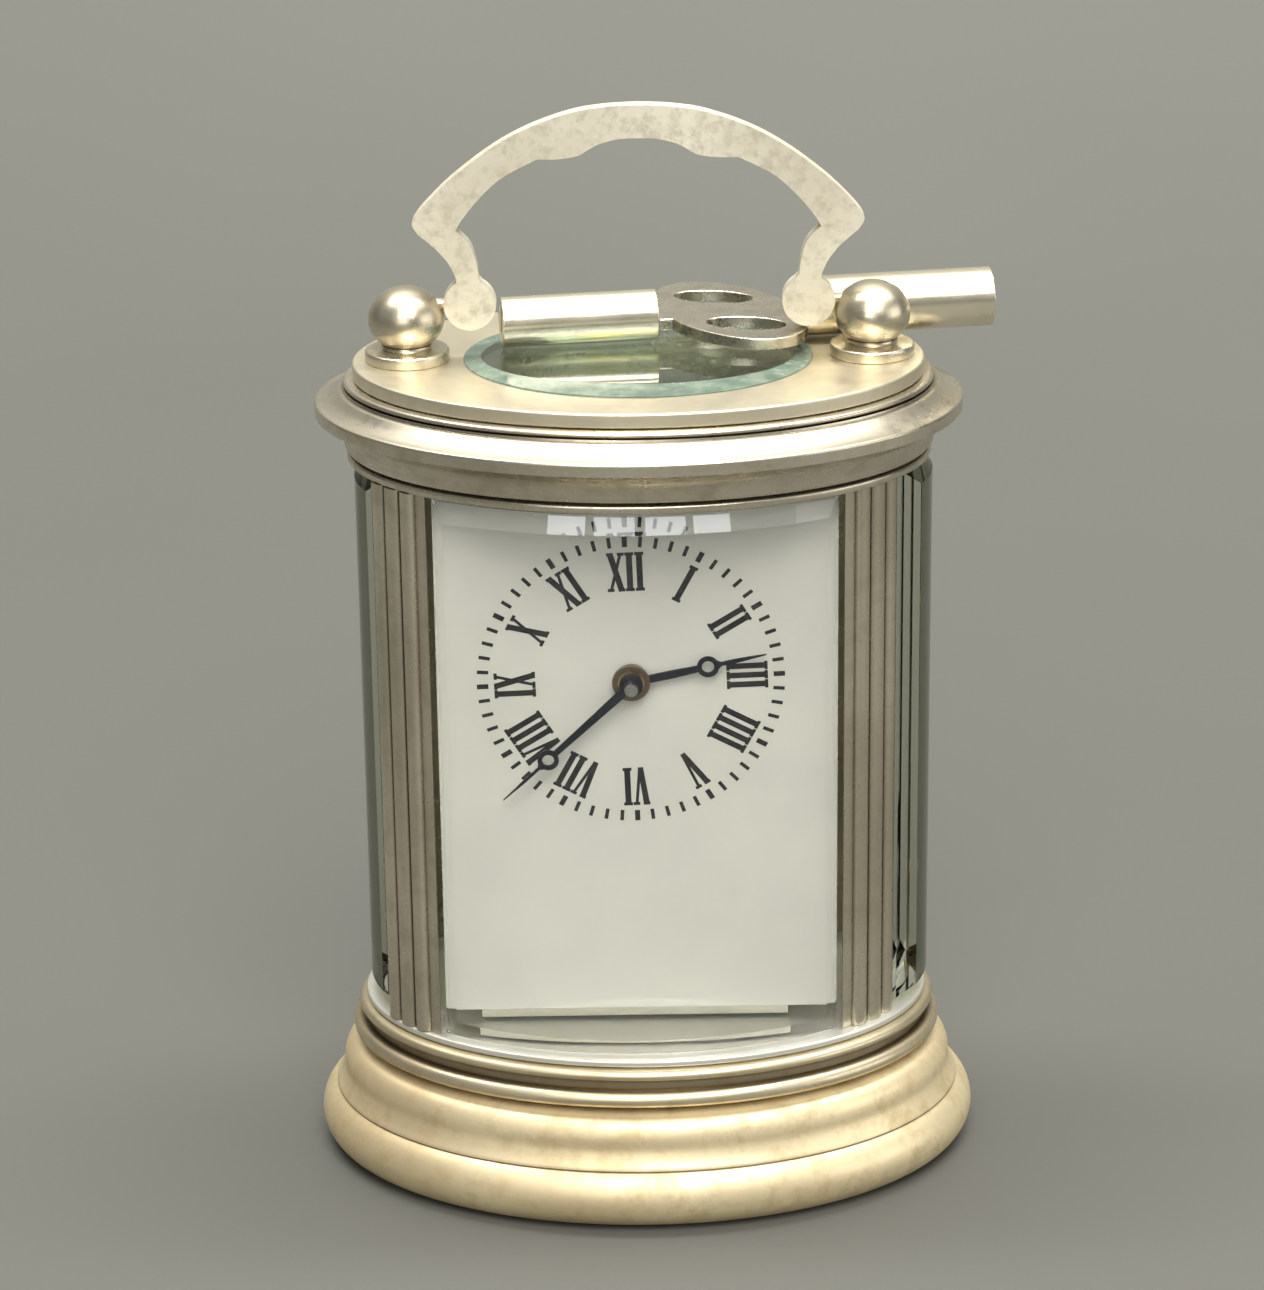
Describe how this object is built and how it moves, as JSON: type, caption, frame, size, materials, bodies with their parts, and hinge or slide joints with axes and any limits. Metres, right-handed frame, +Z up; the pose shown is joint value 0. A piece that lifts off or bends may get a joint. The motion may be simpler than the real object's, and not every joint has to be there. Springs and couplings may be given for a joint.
{
  "type": "carriage clock",
  "caption": "Oval glazed carriage clock with stepped base and cornice, folding bail handle, ball finials, back door, loose key on top and a platform escapement movement.",
  "frame": {"origin": "centre of the flat underside of the base", "axes": "+Z up through the case; the dial faces -Y; +X to the right as seen from the front"},
  "size_m": [0.0637, 0.046, 0.0999],
  "materials": {
    "silvered_brass": "silver plated, satin with worn mottling",
    "glass": "clear, bevelled edges",
    "enamel": "white vitreous enamel, gloss",
    "brass": "brushed",
    "steel": "polished",
    "blued_steel": "blued, gloss"
  },
  "bodies": {
    "case": {"base_plinth": "silvered_brass", "base_moulding": "silvered_brass", "base_floor": "silvered_brass", "body_rim": "silvered_brass", "cornice": "silvered_brass", "top_plate": "silvered_brass", "top_glass": "glass", "front_glass": "glass", "side_glass_left": "glass", "side_glass_right": "glass", "pilaster_front_left": "silvered_brass", "pilaster_front_right": "silvered_brass", "pilaster_back_left": "silvered_brass", "pilaster_back_right": "silvered_brass", "finial_collar_left": "silvered_brass", "finial_collar_right": "silvered_brass", "finial_ball_left": "silvered_brass", "finial_ball_right": "silvered_brass", "movement_front_plate": "brass", "movement_back_plate": "brass", "pillar_lower_left": "brass", "pillar_lower_right": "brass", "pillar_upper_left": "brass", "pillar_upper_right": "brass", "dial": "enamel", "click_screw": "steel", "click_spring": "steel", "platform": "brass", "escape_cock": "brass", "balance_cock": "brass"},
    "handle": {"handle": "silvered_brass"},
    "key": {"key_setting_tube": "silvered_brass", "key_bow": "silvered_brass", "key_winding_tube": "silvered_brass"},
    "back_door": {"door_frame": "silvered_brass", "door_glass": "glass", "door_knob": "brass", "hinge_pin_lower": "steel", "hinge_pin_upper": "steel"},
    "barrel": {"barrel": "brass", "barrel_lid": "brass", "mainspring": "steel"},
    "winding_arbor": {"winding_arbor": "steel", "ratchet_wheel": "steel"},
    "click": {"click": "steel"},
    "centre_arbor": {"centre_arbor": "steel", "centre_wheel": "brass", "cannon_pinion": "steel", "minute_hand": "blued_steel"},
    "third_arbor": {"third_arbor": "steel", "third_wheel": "brass"},
    "contrate_arbor": {"contrate_arbor": "steel", "contrate_wheel": "brass"},
    "escape_wheel": {"escape_wheel": "brass"},
    "minute_wheel": {"minute_wheel": "brass"},
    "hour_wheel": {"hour_wheel": "brass", "hour_hand": "blued_steel"},
    "lever": {"lever": "steel"},
    "balance": {"balance_wheel": "brass", "hairspring": "blued_steel"}
  },
  "joints": [
    {"name": "handle_fold", "type": "hinge", "parent": "case", "child": "handle", "pos_m": [0.00015, 0, 0.08188], "axis": [1, 0, 0], "range_deg": [-4, 90]},
    {"name": "key_lift_off", "type": "slide", "parent": "case", "child": "key", "axis": [0, 1, 0], "range_m": [0, 0.045]},
    {"name": "door_swing", "type": "hinge", "parent": "case", "child": "back_door", "pos_m": [0.0165, 0.0126, 0.0416], "axis": [0, 0, -1], "range_deg": [0, 95]},
    {"name": "barrel_turn", "type": "hinge", "parent": "case", "child": "barrel", "pos_m": [-0.00105, 0, 0.0377], "axis": [0, 1, 0], "continuous": true},
    {"name": "centre_turn", "type": "hinge", "parent": "case", "child": "centre_arbor", "pos_m": [-0.00105, 0, 0.04995], "axis": [0, 1, 0], "continuous": true},
    {"name": "third_turn", "type": "hinge", "parent": "case", "child": "third_arbor", "pos_m": [0.00539, 0, 0.05535], "axis": [0, 1, 0], "continuous": true},
    {"name": "contrate_turn", "type": "hinge", "parent": "case", "child": "contrate_arbor", "pos_m": [-0.00105, 0, 0.05871], "axis": [0, 1, 0], "continuous": true},
    {"name": "escape_turn", "type": "hinge", "parent": "case", "child": "escape_wheel", "pos_m": [-0.00105, -0.00205, 0.067], "axis": [0, 0, 1], "continuous": true},
    {"name": "minute_wheel_turn", "type": "hinge", "parent": "case", "child": "minute_wheel", "pos_m": [-0.00705, 0, 0.04995], "axis": [0, 1, 0], "continuous": true},
    {"name": "hour_turn", "type": "hinge", "parent": "case", "child": "hour_wheel", "pos_m": [-0.00105, 0, 0.04995], "axis": [0, 1, 0], "continuous": true},
    {"name": "winding_turn", "type": "hinge", "parent": "case", "child": "winding_arbor", "pos_m": [-0.00105, 0, 0.0377], "axis": [0, 1, 0], "continuous": true},
    {"name": "click_swing", "type": "hinge", "parent": "case", "child": "click", "pos_m": [0.00555, 0.0084, 0.0397], "axis": [0, 1, 0], "range_deg": [0, 6], "stiffness_Nm_per_rad": 0.0005, "springref_deg": -11.46},
    {"name": "lever_rock", "type": "hinge", "parent": "case", "child": "lever", "pos_m": [0.00306, 0.00001, 0.0687], "axis": [0, 0, 1], "range_deg": [-5, 5]},
    {"name": "balance_swing", "type": "hinge", "parent": "case", "child": "balance", "pos_m": [0.00735, 0.00215, 0.0705], "axis": [0, 0, 1], "range_deg": [-220, 220], "stiffness_Nm_per_rad": 0.0000001, "deforming": ["hairspring"]}
  ],
  "couplings": [
    {"joint": "centre_turn", "follows": "barrel_turn", "ratio": -6},
    {"joint": "third_turn", "follows": "barrel_turn", "ratio": 36},
    {"joint": "contrate_turn", "follows": "barrel_turn", "ratio": -360},
    {"joint": "escape_turn", "follows": "barrel_turn", "ratio": 2880},
    {"joint": "minute_wheel_turn", "follows": "barrel_turn", "ratio": 2},
    {"joint": "hour_turn", "follows": "barrel_turn", "ratio": -0.5}
  ]
}
